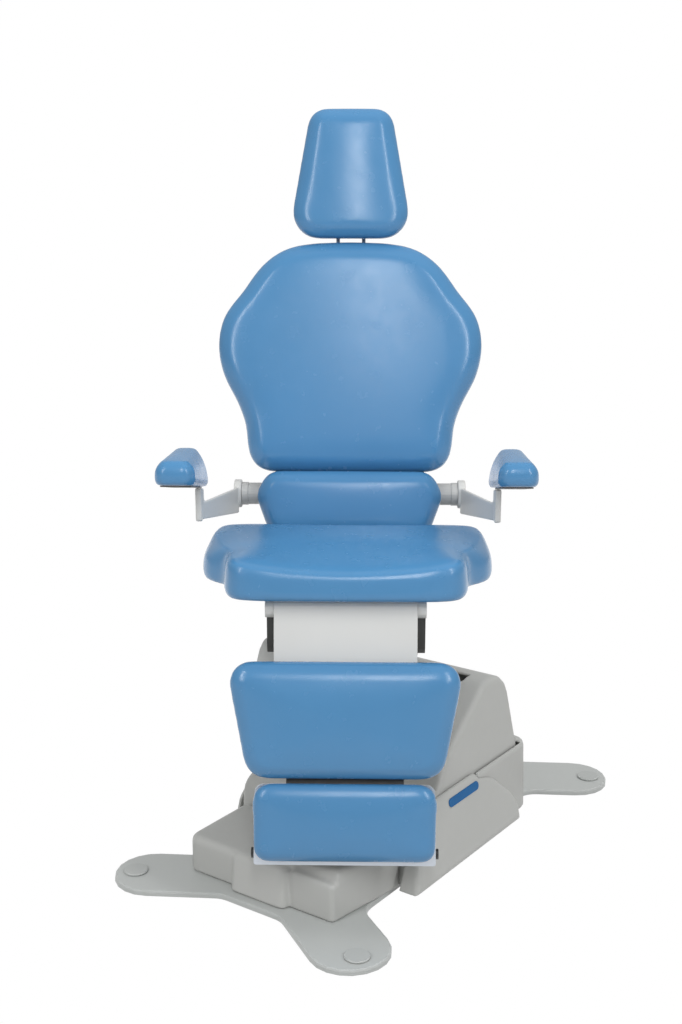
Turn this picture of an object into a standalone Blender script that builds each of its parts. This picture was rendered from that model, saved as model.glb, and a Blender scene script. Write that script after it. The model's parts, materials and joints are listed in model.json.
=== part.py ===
"""An ear, nose and throat examination chair: floor plate, covered base, lifting column, swivelling
seat, reclining back with head and arm rests, and a leg rest with a folding foot rest.

Metres, +Z up. The chair faces -Y and the swivel axis is the Z axis, with the floor at Z = 0.
The base stands turned under the seat, as the seat has been swivelled."""

import math

import bmesh
import bpy
from mathutils import Matrix, Vector

# Clearances
GAP = 0.0003
SLIDE_GAP = 0.0003
COVER_GAP = 0.0028
OVERSHOOT = 0.01

# Turn of the base under the seat, and the tilts of the upholstered planes
BASE_TURN = math.radians(-34.4)
SEAT_TILT = math.radians(-5.0)
BACK_TILT = math.radians(-11.0)
LEG_TILT = math.radians(-10.0)
PAD_TILT = math.radians(-13.7)

# Floor plate, with four lobes that carry the fixing screws
PLATE_THICK = 0.010
PLATE_EDGE = 0.0035
PLATE_MID_Y = 0.104
PLATE_HALF_X = 0.17
PLATE_HALF_Y = 0.40
LOBE_ANGLE = math.radians(58.5)
LOBE_ROOT = 0.275
LOBE_REACH = 0.258
LOBE_HALF = 0.0715
LOBE_FILLET = 0.045
CAP_REACH = 0.292
CAP_RADIUS = 0.0225
CAP_HIGH = 0.004
CAP_EDGE = 0.0015

# Covers of the base, in the base's own axes
FRONT_LEFT = -0.176
FRONT_RIGHT = 0.180
FRONT_Y = -0.262
FRONT_TOP = 0.080
NOSE_HALF = 0.067
NOSE_OUT = 0.018
NOSE_LIP = 0.003
NOSE_DRAFT = 0.006
NOSE_ROUND = 0.014
FRONT_ROUND = 0.012
CONNECTOR_LEFT = 0.060
CONNECTOR_RIGHT = 0.158
CONNECTOR_Y = -0.264
CONNECTOR_TOP = 0.082
CONNECTOR_ROUND = 0.008
WING_LEFT = 0.040
WING_Y = -0.249
WING_TOP = 0.1025
WING_ROUND = 0.012
TOWER_FRONT = -0.092
TOWER_REAR = 0.322
TOWER_SHELF = 0.150
TOWER_TOP = 0.298
TOWER_FOOT_Y = 0.020
TOWER_BROW_Y = 0.055
TOWER_BROW_DROP = 0.101
TOWER_CREST_Y = 0.235
TOWER_CROWN_Y = 0.314
TOWER_CROWN_ROUND = 0.042
TOWER_HALF = 0.192
TOWER_LEAN = 0.20
TOWER_ROUND = 0.010
COVER_WALL = 0.004
SLOT_Y = 0.2415
SLOT_WIDE = 0.031
SLOT_HALF = 0.115
SLOT_DEEP = 0.070
SLOT_ROUND = 0.004
REAR_SIDE = 0.0112
REAR_HALF = TOWER_HALF + COVER_GAP + REAR_SIDE
REAR_FRONT = 0.140
REAR_LEFT_FRONT = -0.101
REAR_LEFT_RAKE = 0.020
REAR_DEEP = 0.0322
REAR_BACK = TOWER_REAR + COVER_GAP + REAR_DEEP
REAR_TOP = 0.151
REAR_ROUND = 0.040
REAR_RIM = 0.008
REAR_WALL = 0.006
REAR_DRAFT = 0.004
SIDE_THICK = 0.045
SIDE_FRONT = -0.118
SIDE_BACK = 0.263
SIDE_LOW = 0.018
SIDE_TOP = 0.155
SIDE_SWEEP = 0.130
SIDE_RAKE = 0.056
SIDE_DRAFT = 0.235
SIDE_ROUND = 0.016
SIDE_EDGE = 0.009
SIDE_HEEL = 0.035
SIDE_SLANT = (0.020, 0.073)
SIDE_SHOULDER = (0.075, 0.024)
SIDE_BEND = 0.06
LABEL_LONG = 0.106
LABEL_HIGH = 0.016
LABEL_THICK = 0.0012
LABEL_Y = 0.078
LABEL_DROP = 0.019
INLET_WIDE = 0.050
INLET_HIGH = 0.028
INLET_DEEP = 0.006
INLET_Z = 0.070
SOCKET = (0.024, 0.016)
SOCKET_FLOOR = 0.002

# Lifting column
COLUMN_HALF_X = 0.085
COLUMN_HALF_Y = 0.065
COLUMN_ROUND = 0.020
COLUMN_WALL = 0.005
COLUMN_TOP = 0.345
INNER_LOW = 0.020
HEAD_LOW = 0.356
HEAD_TOP = 0.440
HEAD_HALF_X = 0.122
HEAD_HALF_Y = 0.120
HEAD_SHIFT = -0.030
HEAD_SHEAR = 0.031
HEAD_ROUND = 0.052
HEAD_RIM = 0.030
HEAD_FOOT = 0.005
SCREW_RADIUS = 0.012
SCREW_FOOT = 0.035
SCREW_FLANGE = 0.008
SCREW_TOP = 0.310
DRIVE_RADIUS = 0.045
DRIVE_LOW = 0.262
NUT_RADIUS = 0.020
NUT_LOW = 0.030
CONTROL_BOX = (0.20, 0.07, 0.05)
SUPPLY_BOX = (0.24, 0.09, 0.10)
SUPPLY_GAP = 0.085

# Swivel bearing and seat carriage
RING_INNER = 0.045
RING_OUTER = 0.092
RING_HIGH = 0.013
CARRIAGE_HALF = 0.1217
CARRIAGE_THICK = 0.012
CARRIAGE_FRONT = -0.165
CARRIAGE_REAR = 0.175
SIDE_PLATE = 0.015
SIDE_PLATE_FRONT = -0.170
SIDE_PLATE_DROP = 0.018
RECLINE_Y = 0.200
RECLINE_Z = 0.530
RECLINE_RADIUS = 0.012
RECLINE_BOSS = 0.026
SHAFT_END = 0.004
LEG_Y = -0.195
LEG_Z = 0.545
LEG_RADIUS = 0.010
EAR_RADIUS = 0.017
MOTOR_BOX = (0.080, 0.135, 0.036)
MOTOR_GAP = 0.010
PAN_HALF = 0.170
PAN_FRONT = -0.165
PAN_REAR = 0.130
PAN_THICK = 0.010

# Seat cushion, in its tilted plane through the front lower edge
SEAT_EDGE_Y = -0.235
SEAT_EDGE_Z = 0.570
SEAT_THICK = 0.065
SEAT_CROWN = 0.007
SEAT_SOFT = 0.028
SEAT_REAR = 0.380
SEAT_FRONT = -0.020
SEAT_WING = 0.262
SEAT_NECK = 0.208

# Back, in its reclined plane through the recline shaft: Z up the back, -Y towards the sitter
BACK_FACE = -0.032
BACK_THICK = 0.055
BACK_CROWN = 0.008
BACK_LOW = 0.158
BACK_TOP = 0.605
BACK_WIDE = 0.2585
SHELL_THICK = 0.018
SHELL_INSET = 0.010
LUMBAR_FACE = -0.054
LUMBAR_THICK = 0.045
LUMBAR_CROWN = 0.006
LUMBAR_LOW = 0.033
LUMBAR_TOP = 0.160
LUMBAR_TOP_HALF = 0.158
LUMBAR_WIDE = 0.182
LUMBAR_WIDE_DROP = 0.045
LUMBAR_LOW_HALF = 0.152
LUMBAR_SOFT = 0.022
LUMBAR_PLATE_HALF = 0.130
LUMBAR_PLATE_INSET = 0.014
LUMBAR_BOARD = 0.006
UPRIGHT_THICK = 0.010
UPRIGHT_DEEP = 0.022
UPRIGHT_TOP = 0.440
UPRIGHT_BOSS_Z = 0.012
UPRIGHT_STEP_Z = 0.028
TUBE_RADIUS = 0.0215
TUBE_Y = LUMBAR_FACE + LUMBAR_CROWN + LUMBAR_THICK + LUMBAR_BOARD + 2 * GAP + TUBE_RADIUS
TUBE_Z = 0.115
TUBE_HALF = 0.213
TUBE_BORE = 0.0165
COLLAR_WIDE = 0.009
COLLAR_RISE = 0.0012

# Head rest
HEAD_FACE = -0.030
HEAD_THICK = 0.045
HEAD_CROWN = 0.007
HEADREST_LOW = 0.613
HEADREST_TOP = 0.864
HEADREST_TOP_HALF = 0.079
HEADREST_LOW_HALF = 0.1235
HEAD_PLATE = 0.005
BAR_HALF = 0.029
BAR_LEG = 0.007
BAR_FOOT = 0.015
BAR_THICK = 0.008
BAR_LOW = 0.300
GUIDE_WALL = 0.012
GUIDE_LOW = 0.430
GUIDE_TOP = 0.560
PIVOT_Z = 0.660
KNUCKLE_RADIUS = 0.011
PIN_RADIUS = 0.005
CHEEK_THICK = 0.008

# Arm rests
ARM_EAR_HALF = 0.028
ARM_EAR_THICK = 0.0155
ARM_SHEET = 0.006
ARM_POST_X = 0.2688
ARM_POST_THICK = 0.012
ARM_POST_Y = 0.050
ARM_POST_WIDE = 0.040
ARM_POST_LOW = 0.6348
ARM_ROOT_HIGH = 0.0525
ARM_ROOT_DROP = 0.0360
ARM_TIP_HIGH = 0.0325
PAD_MID_X = 0.289
PAD_REAR_MID_X = 0.2967
PAD_HALF = 0.0345
PAD_REAR_HALF = 0.044
PAD_TOP_HALF = 0.0337
PAD_TOP_REAR_HALF = 0.0272
PAD_FRONT = -0.185
PAD_REAR = 0.060
PAD_LOW_FRONT = 0.755
PAD_THICK = 0.0405
PAD_REAR_THICK = 0.075
PAD_CROWN = 0.003
PAD_SOFT = 0.014
PAD_CORNER = 0.024
PAD_BOARD_INSET = 0.008
PAD_BOARD_SETBACK = 0.020
PAD_BOARD = 0.0025

# Leg rest, in its tilted plane through the hinge shaft: Z up the shin, -Y towards the front
PANEL_HALF = 0.1215
PANEL_THICK = 0.003
BARREL_RADIUS = 0.017
CALF_TOP = -0.084
CALF_LOW = -0.2855
CALF_TOP_HALF = 0.2028
CALF_LOW_HALF = 0.1658
CALF_THICK = 0.038
CALF_CROWN = 0.006
CALF_BOARD = 0.008
CALF_BOARD_INSET = 0.020
CALF_BOARD_SETBACK = 0.012
FOOT_TOP = -0.2905
FOOT_LOW = -0.427
FOOT_HALF = 0.1568
FOOT_THICK = 0.028
FOOT_CROWN = 0.003
FOOT_PLATE = 0.005
FOOT_LIP = 0.0085
ROD_RADIUS = 0.006
ROD_Z = -0.4195
ROD_INSET = 0.006
ROD_HALF = FOOT_HALF - ROD_INSET
ROD_CAP = 0.009
CARRIER_HALF = 0.100
CARRIER_THICK = 0.010

# Colours, as display values
BLUE = (80, 136, 186)
COVER = (172, 173, 170)
STEEL_GREY = (176, 179, 177)
LIGHT = (213, 213, 211)
ARM_GREY = (190, 191, 190)
DARK = (72, 72, 70)
BAR_METAL = (168, 172, 183)
STRIP_METAL = (184, 191, 202)
ZINC = (150, 153, 156)
BLACK = (40, 41, 42)
LABEL_BLUE = (32, 96, 150)

ROUND_STEPS = 24


def clear_scene():
    for old in list(bpy.data.objects):
        bpy.data.objects.remove(old, do_unlink=True)


def linear(value):
    value /= 255
    return value / 12.92 if value <= 0.04045 else ((value + 0.055) / 1.055) ** 2.4


def finish(piece, colour, roughness, metallic=0.0):
    material = bpy.data.materials.new(piece.name)
    material.use_nodes = True
    shader = material.node_tree.nodes["Principled BSDF"]
    shader.inputs["Base Color"].default_value = (*map(linear, colour), 1)
    shader.inputs["Roughness"].default_value = roughness
    shader.inputs["Metallic"].default_value = metallic
    piece.data.materials.clear()
    piece.data.materials.append(material)
    return piece


def empty(name, parent=None, place=(0, 0, 0), turn=(0, 0, 0)):
    frame = bpy.data.objects.new(name, None)
    frame.empty_display_size = 0.05
    frame.location = place
    frame.rotation_euler = turn
    frame.parent = parent
    bpy.context.scene.collection.objects.link(frame)
    return frame


def piece_of(name, build, parent, smooth=True):
    """An object from a bmesh, with its faces turned outwards."""
    bmesh.ops.remove_doubles(build, verts=build.verts, dist=1e-6)
    bmesh.ops.recalc_face_normals(build, faces=build.faces)
    mesh = bpy.data.meshes.new(name)
    build.to_mesh(mesh)
    build.free()
    if smooth:
        mesh.shade_smooth()
        mesh.set_sharp_from_angle(angle=math.radians(35))
    piece = bpy.data.objects.new(name, mesh)
    piece.parent = parent
    bpy.context.scene.collection.objects.link(piece)
    return piece


def rounded(corners, steps=4):
    """Points of a polygon whose corners (x, y, radius) are arcs."""
    points = []
    for i, (x, y, radius) in enumerate(corners):
        here = Vector((x, y))
        before = (Vector(corners[i - 1][:2]) - here).normalized()
        after = (Vector(corners[(i + 1) % len(corners)][:2]) - here).normalized()
        half = before.angle(after) / 2
        if radius <= 0 or half > math.radians(89.5):
            points.append(here)
            continue
        centre = here + (before + after).normalized() * (radius / math.sin(half))
        start = here + before * (radius / math.tan(half)) - centre
        end = here + after * (radius / math.tan(half)) - centre
        sweep = start.angle_signed(end)
        for step in range(steps + 1):
            turned = start.copy()
            turned.rotate(Matrix.Rotation(-sweep * step / steps, 2))
            points.append(centre + turned)
    return points


def mirrored(half):
    """A closed outline from its right half, which runs from top to bottom."""
    return list(half) + [(-x, *rest) for x, *rest in reversed(half)]


def smooth_loop(controls, per_span=3):
    """A closed smooth curve through the control points."""
    points = []
    count = len(controls)
    for i in range(count):
        a, b, c, d = (Vector(controls[(i + k) % count]) for k in (-1, 0, 1, 2))
        for step in range(per_span):
            t = step / per_span
            along = b * 2 + (c - a) * t
            along += (a * 2 - b * 5 + c * 4 - d) * t * t
            along += (b * 3 - a - c * 3 + d) * t ** 3
            points.append(along / 2)
    return points


def loft(name, rings, parent, capped=True):
    """Skin over rings of equally many points, closed at both ends or round from last to first."""
    build = bmesh.new()
    loops = [[build.verts.new(point) for point in ring] for ring in rings]
    pairs = list(zip(loops, loops[1:]))
    if capped:
        build.faces.new(loops[0])
        build.faces.new(loops[-1])
    else:
        pairs.append((loops[-1], loops[0]))
    for lower, upper in pairs:
        for i in range(len(lower)):
            build.faces.new((lower[i - 1], lower[i], upper[i], upper[i - 1]))
    return piece_of(name, build, parent)


AXES = {
    "X": lambda a, b, t: (t, a, b),
    "Y": lambda a, b, t: (a, t, b),
    "Z": lambda a, b, t: (a, b, t),
}


def prism(name, outline, axis, low, high, parent, edge=0.0, segments=2):
    """An outline carried along an axis, with its end edges rounded."""
    place = AXES[axis]
    rings = [[place(*point, t) for point in outline] for t in (low, high)]
    piece = loft(name, rings, parent)
    if edge:
        bevel(piece, edge, segments)
    return piece


def bevel(piece, width, segments=2, angle=40):
    rounding = piece.modifiers.new("round edges", "BEVEL")
    rounding.width = width
    rounding.segments = segments
    rounding.limit_method = "ANGLE"
    rounding.angle_limit = math.radians(angle)
    rounding.use_clamp_overlap = False
    return piece


def round_rim(piece, axis, level, width, segments):
    """Rounds the rim of the end face at one level along an axis, and leaves the other end square."""
    bevel(piece, width, segments).modifiers[0].limit_method = "WEIGHT"
    mesh = piece.data
    weights = mesh.attributes.new("bevel_weight_edge", "FLOAT", "EDGE")
    for edge in mesh.edges:
        places = [mesh.vertices[i].co["XYZ".index(axis)] for i in edge.vertices]
        weights.data[edge.index].value = float(all(abs(place - level) < 1e-5 for place in places))


def rectangle(low, high, radius=0.0, steps=4):
    corners = [(low[0], low[1]), (high[0], low[1]), (high[0], high[1]), (low[0], high[1])]
    return rounded([(x, y, radius) for x, y in corners], steps)


def circle(centre, radius, steps=ROUND_STEPS):
    turns = (2 * math.pi * i / steps for i in range(steps))
    return [(centre[0] + radius * math.cos(t), centre[1] + radius * math.sin(t)) for t in turns]


def turned(name, profile, axis, centre, parent, steps=ROUND_STEPS, hollow=True):
    """A profile of (radius, place along the axis) spun round an axis through centre."""
    place = AXES[axis]
    rings = []
    for radius, along in profile:
        rings.append([place(*point, along) for point in circle(centre, radius, steps)])
    return loft(name, rings, parent, capped=not hollow)


def cut(piece, cutter):
    cutter.hide_render = True
    cutter.display_type = "WIRE"
    taking = piece.modifiers.new(cutter.name, "BOOLEAN")
    taking.operation = "DIFFERENCE"
    taking.object = cutter
    return piece


def join(piece, other):
    other.hide_render = True
    other.display_type = "WIRE"
    adding = piece.modifiers.new(other.name, "BOOLEAN")
    adding.operation = "UNION"
    adding.object = other
    return piece


def bore(piece, centre, radius, ends):
    """A round hole along X right through a piece that lies between two ends."""
    name = f"cut_{piece.name}_{len(piece.modifiers)}"
    low, high = ends
    tool = prism(name, circle(centre, radius), "X", low - OVERSHOOT, high + OVERSHOOT, piece.parent)
    return cut(piece, tool)


def inset_outline(outline, distance):
    """The outline moved inwards along its normals. It runs clockwise or anticlockwise."""
    points = [Vector(point[:2]) for point in outline]
    count = len(points)
    area = sum(points[i - 1].cross(points[i]) for i in range(count))
    side = 1 if area > 0 else -1
    moved = []
    for i in range(count):
        along = (points[(i + 1) % count] - points[i - 1]).normalized()
        moved.append(points[i] + Vector((-along.y, along.x)) * distance * side)
    return moved


# Sections of a cushion from its board to the shoulder: share of the edge band, share of the height
SIDE_SECTIONS = ((0.30, 0.0), (0.0, 0.38), (0.10, 0.66), (0.42, 0.89), (1.0, 1.0))
# Sections of its face: share of the way out to the shoulder, share of the crown
FACE_SECTIONS = ((0.72, 0.50), (0.36, 0.88))
CUSHION_EDGE = 0.024
# Sections of the seat, whose sides stand steeper
SEAT_SECTIONS = ((0.30, 0.0), (0.0, 0.26), (0.02, 0.58), (0.30, 0.88), (1.0, 1.0))


def cushion(name, outline, place, thick, crown, parent, edge=CUSHION_EDGE, sections=SIDE_SECTIONS):
    """A stuffed pad on a board: sides drawn in below, a soft shoulder and a crowned face.

    place(u, v, height) puts a point of the outline at a height over the board."""
    middle = sum((Vector(point[:2]) for point in outline), Vector((0, 0))) / len(outline)
    rings = []
    for share, rise in sections:
        ring = inset_outline(outline, share * edge)
        rings.append([place(*point, thick * rise) for point in ring])
    shoulder = inset_outline(outline, edge)
    for share, rise in FACE_SECTIONS:
        ring = [middle + (point - middle) * share for point in shoulder]
        rings.append([place(*point, thick + crown * rise) for point in ring])
    piece = loft(name, rings, parent)
    return finish(piece, BLUE, 0.42)


def plate_outline():
    """The floor plate: a slab with a lobe at each corner, about the base's own axes."""
    out = Vector((math.sin(LOBE_ANGLE), math.cos(LOBE_ANGLE)))
    across = Vector((-out.y, out.x)) * LOBE_HALF
    root = Vector((0, LOBE_ROOT))
    inner = root - across
    to_side = (PLATE_HALF_X - inner.x) / out.x
    armpit = inner + out * to_side
    outer = root + across
    to_front = (PLATE_HALF_Y - outer.y) / out.y
    brow = outer + out * to_front
    far = LOBE_REACH + LOBE_HALF
    tip_inner = root + out * far - across
    tip_outer = root + out * far + across
    tip = LOBE_HALF * 0.98
    quarter = [(brow, LOBE_FILLET), (tip_outer, tip), (tip_inner, tip), (armpit, LOBE_FILLET)]
    corners = []
    for x_sign, y_sign in ((1, 1), (1, -1), (-1, -1), (-1, 1)):
        points = quarter if x_sign * y_sign > 0 else quarter[::-1]
        for point, radius in points:
            corners.append((x_sign * point.x, PLATE_MID_Y + y_sign * point.y, radius))
    return rounded(corners, 5)


def make_floor_plate(base):
    plate = prism("floor_plate", plate_outline(), "Z", 0, PLATE_THICK, base)
    round_rim(plate, "Z", PLATE_THICK, PLATE_EDGE, 2)
    finish(plate, STEEL_GREY, 0.45, 0.1)
    for y_name, y_sign in (("front", -1), ("rear", 1)):
        for x_name, x_sign in (("left", -1), ("right", 1)):
            x = x_sign * CAP_REACH * math.sin(LOBE_ANGLE)
            y = PLATE_MID_Y + y_sign * (LOBE_ROOT + CAP_REACH * math.cos(LOBE_ANGLE))
            low = PLATE_THICK + GAP
            outline = circle((x, y), CAP_RADIUS)
            name = f"fixing_cap_{y_name}_{x_name}"
            cap = prism(name, outline, "Z", low, low + CAP_HIGH, base, CAP_EDGE, 1)
            finish(cap, STEEL_GREY, 0.5)


def front_outline(nose_y):
    """Plan of the front cover's left part and nose, open towards the tower."""
    back = TOWER_FRONT - GAP
    return rounded([
        (FRONT_LEFT, back, 0),
        (FRONT_LEFT, FRONT_Y, 0.022),
        (-NOSE_HALF, FRONT_Y, 0.005),
        (-NOSE_HALF + NOSE_DRAFT, nose_y, NOSE_ROUND),
        (NOSE_HALF - NOSE_DRAFT, nose_y, NOSE_ROUND),
        (NOSE_HALF, back, 0),
    ])


def make_front_cover(base):
    """The front cover: a nose that leans back, a low block beside it and a wing behind the block."""
    low = PLATE_THICK + GAP
    back = TOWER_FRONT - GAP
    foot = [(*point, low) for point in front_outline(FRONT_Y - NOSE_OUT)]
    rim = [(*point, FRONT_TOP) for point in front_outline(FRONT_Y - NOSE_LIP)]
    cover = loft("front_cover", [foot, rim], base)
    round_rim(cover, "Z", FRONT_TOP, FRONT_ROUND, 3)
    corners = [
        (WING_LEFT, back, 0),
        (WING_LEFT, WING_Y, 1.5 * WING_ROUND),
        (CONNECTOR_RIGHT, WING_Y, 0),
        (FRONT_RIGHT, back, 0),
    ]
    wing = prism("add_front_wing", rounded(corners), "Z", low, WING_TOP, base)
    round_rim(wing, "Z", WING_TOP, WING_ROUND, 3)
    join(cover, wing)
    block_high = (CONNECTOR_RIGHT - GAP, WING_Y + 3 * CONNECTOR_ROUND)
    outline = rectangle((CONNECTOR_LEFT, CONNECTOR_Y), block_high, 1.2 * CONNECTOR_ROUND)
    block = prism("add_connector_block", outline, "Z", low, CONNECTOR_TOP, base)
    round_rim(block, "Z", CONNECTOR_TOP, CONNECTOR_ROUND, 2)
    join(cover, block)
    inside_low = (FRONT_LEFT + 3 * COVER_WALL, WING_Y + 6 * COVER_WALL)
    inside_high = (CONNECTOR_RIGHT - 2 * COVER_WALL, back - COVER_WALL)
    inside = rectangle(inside_low, inside_high)
    cut(cover, prism("inside_front", inside, "Z", 0, CONNECTOR_TOP - 2 * COVER_WALL, base))
    finish(cover, COVER, 0.5)

    wide, deep, high = CONTROL_BOX
    far = back - 2 * COVER_WALL
    box = rectangle((-wide / 2, far - deep), (wide / 2, far))
    control = prism("control_box", box, "Z", low, low + high, base)
    finish(control, BLACK, 0.6)


def tower_profile(inset=0.0):
    """Side view of the tower: a shelf in front, a sweep up and a rounded top, in (y, z)."""
    low = PLATE_THICK + GAP - (OVERSHOOT if inset else 0)
    shelf = TOWER_SHELF - inset
    top = TOWER_TOP - inset
    corners = [
        (TOWER_FRONT + inset, low, 0),
        (TOWER_FRONT + inset + 0.010, shelf - 0.035, 0.035),
        (TOWER_FOOT_Y + inset, shelf + 0.004, 0.05),
        (TOWER_BROW_Y + inset, top - TOWER_BROW_DROP, 0.06),
        (TOWER_CREST_Y, top, 0.05),
        (TOWER_CROWN_Y - inset, top - 0.003, TOWER_CROWN_ROUND - inset),
        (TOWER_REAR - inset, low, 0),
    ]
    return rounded(corners, 3)


def tower_solid(name, inset, base):
    """The tower's profile across its width, with sides that lean in above the shelf."""
    half = TOWER_HALF - inset
    solid = prism(name, tower_profile(inset), "X", -half, half, base)
    build = bmesh.new()
    build.from_mesh(solid.data)
    geometry = build.verts[:] + build.edges[:] + build.faces[:]
    bmesh.ops.bisect_plane(build, geom=geometry, plane_co=(0, 0, TOWER_SHELF), plane_no=(0, 0, 1))
    for vert in build.verts:
        over = max(0.0, vert.co.z - TOWER_SHELF)
        vert.co.x -= math.copysign(over * TOWER_LEAN, vert.co.x)
    build.to_mesh(solid.data)
    build.free()
    return solid


def make_tower(base):
    tower = tower_solid("tower_cover", 0.0, base)
    bevel(tower, TOWER_ROUND, 3, 50)
    cut(tower, tower_solid("inside_tower", COVER_WALL + TOWER_ROUND * 0.3, base))
    clear_x = COLUMN_HALF_X + COVER_GAP
    clear_y = COLUMN_HALF_Y + COVER_GAP
    hole = rectangle((-clear_x, -clear_y), (clear_x, clear_y), COLUMN_ROUND)
    cut(tower, prism("cut_tower_column", hole, "Z", PLATE_THICK, COLUMN_TOP, base))
    slot_low = (-SLOT_HALF, SLOT_Y - SLOT_WIDE / 2)
    slot_high = (SLOT_HALF, SLOT_Y + SLOT_WIDE / 2)
    slot = rectangle(slot_low, slot_high, SLOT_ROUND)
    slot_floor = TOWER_TOP - SLOT_DEEP
    cut(tower, prism("cut_tower_slot", slot, "Z", slot_floor, TOWER_TOP + OVERSHOOT, base))
    finish(tower, COVER, 0.5)

    wide, deep, high = SUPPLY_BOX
    low = PLATE_THICK + GAP
    near = COLUMN_HALF_Y + SUPPLY_GAP
    box = rectangle((-wide / 2, near), (wide / 2, near + deep))
    supply = prism("power_supply", box, "Z", low, low + high, base)
    finish(supply, LIGHT, 0.4, 0.3)


def lean_in(piece, sign, over, draft):
    """Leans what lies farther out than a level in towards the tower, more so higher up."""
    for vert in piece.data.vertices:
        if vert.co.x * sign > over + GAP / 2:
            vert.co.x -= sign * draft * (vert.co.z - PLATE_THICK)


def make_rear_cover(base):
    low = PLATE_THICK + GAP
    outline = [
        (-REAR_HALF, REAR_FRONT, 0),
        (REAR_HALF, REAR_FRONT, 0),
        (REAR_HALF, REAR_BACK, REAR_ROUND),
        (-REAR_HALF, REAR_BACK, REAR_ROUND),
    ]
    foot = rounded(outline)
    rim = inset_outline(foot, REAR_DRAFT)
    rings = [[(*point, low) for point in foot], [(*point, REAR_TOP) for point in rim]]
    cover = loft("rear_cover", rings, base)
    round_rim(cover, "Z", REAR_TOP, REAR_RIM, 2)
    half = TOWER_HALF + COVER_GAP
    behind = TOWER_REAR + COVER_GAP
    arm_top = REAR_TOP - GAP
    arm_side = -REAR_HALF + GAP
    corners = [
        (REAR_LEFT_FRONT, low + GAP, 0),
        (REAR_LEFT_FRONT + REAR_LEFT_RAKE, arm_top * 0.52, 0.03),
        (REAR_LEFT_FRONT + 5 * REAR_LEFT_RAKE, arm_top, 0.04),
        (REAR_FRONT + REAR_WALL, arm_top, 0),
        (REAR_FRONT + REAR_WALL, low + GAP, 0),
    ]
    arm = prism("add_rear_arm", rounded(corners), "X", arm_side, -half + OVERSHOOT, base)
    round_rim(arm, "X", arm_side, REAR_RIM, 2)
    lean_in(arm, -1, half, REAR_DRAFT / (REAR_TOP - low))
    join(cover, arm)
    cavity = rectangle((-half, REAR_LEFT_FRONT - OVERSHOOT), (half, behind))
    cut(cover, prism("cut_rear_tower", cavity, "Z", 0, REAR_TOP + OVERSHOOT, base))
    wide = REAR_HALF - REAR_WALL
    far = REAR_BACK - REAR_WALL
    hollow = rectangle((-wide, REAR_FRONT - OVERSHOOT), (wide, far), REAR_ROUND - REAR_WALL)
    cut(cover, prism("cut_rear_hollow", hollow, "Z", 0, REAR_TOP - REAR_WALL, base))
    finish(cover, COVER, 0.5)

    foot_z = INLET_Z - INLET_HIGH / 2
    back = REAR_BACK - REAR_DRAFT * (foot_z - low) / (REAR_TOP - low) + GAP
    face = rectangle((-INLET_WIDE / 2, foot_z), (INLET_WIDE / 2, foot_z + INLET_HIGH))
    inlet = prism("mains_inlet", face, "Y", back, back + INLET_DEEP, base)
    wide, high = SOCKET
    socket = rectangle((-wide / 2, INLET_Z - high / 2), (wide / 2, INLET_Z + high / 2))
    cut(inlet, prism("cut_inlet", socket, "Y", back + SOCKET_FLOOR, back + 2 * INLET_DEEP, base))
    finish(inlet, BLACK, 0.5)


def make_side_box(base):
    inner = REAR_HALF + GAP
    front_inner = TOWER_HALF + COVER_GAP
    outer = front_inner + SIDE_THICK
    corners = [
        (SIDE_FRONT, SIDE_LOW, 0),
        (SIDE_BACK, SIDE_LOW, 0),
        (SIDE_BACK, SIDE_LOW + SIDE_HEEL, SIDE_ROUND),
        (SIDE_BACK - SIDE_SLANT[0], SIDE_TOP - SIDE_SLANT[1], SIDE_BEND),
        (SIDE_BACK - SIDE_SHOULDER[0], SIDE_TOP - SIDE_SHOULDER[1], SIDE_BEND),
        (SIDE_BACK - SIDE_SWEEP, SIDE_TOP, SIDE_BEND),
        (SIDE_FRONT + SIDE_RAKE, SIDE_TOP, SIDE_ROUND),
    ]
    box = prism("side_box", rounded(corners, 3), "X", front_inner, outer, base)
    round_rim(box, "X", outer, SIDE_EDGE, 2)
    lean_in(box, 1, front_inner, SIDE_DRAFT)
    step = rectangle((REAR_FRONT - COVER_GAP, 0), (SIDE_BACK + OVERSHOOT, SIDE_TOP + OVERSHOOT))
    cut(box, prism("cut_side_step", step, "X", front_inner - OVERSHOOT, inner, base))
    finish(box, COVER, 0.5)

    middle = SIDE_TOP - LABEL_DROP
    start = (LABEL_Y - LABEL_LONG / 2, middle - LABEL_HIGH / 2)
    end = (LABEL_Y + LABEL_LONG / 2, middle + LABEL_HIGH / 2)
    capsule = rectangle(start, end, LABEL_HIGH * 0.49)
    face = outer + GAP
    label = prism("label_plate", capsule, "X", face, face + LABEL_THICK, base)
    lean_in(label, 1, outer, SIDE_DRAFT)
    finish(label, LABEL_BLUE, 0.35)


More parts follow.
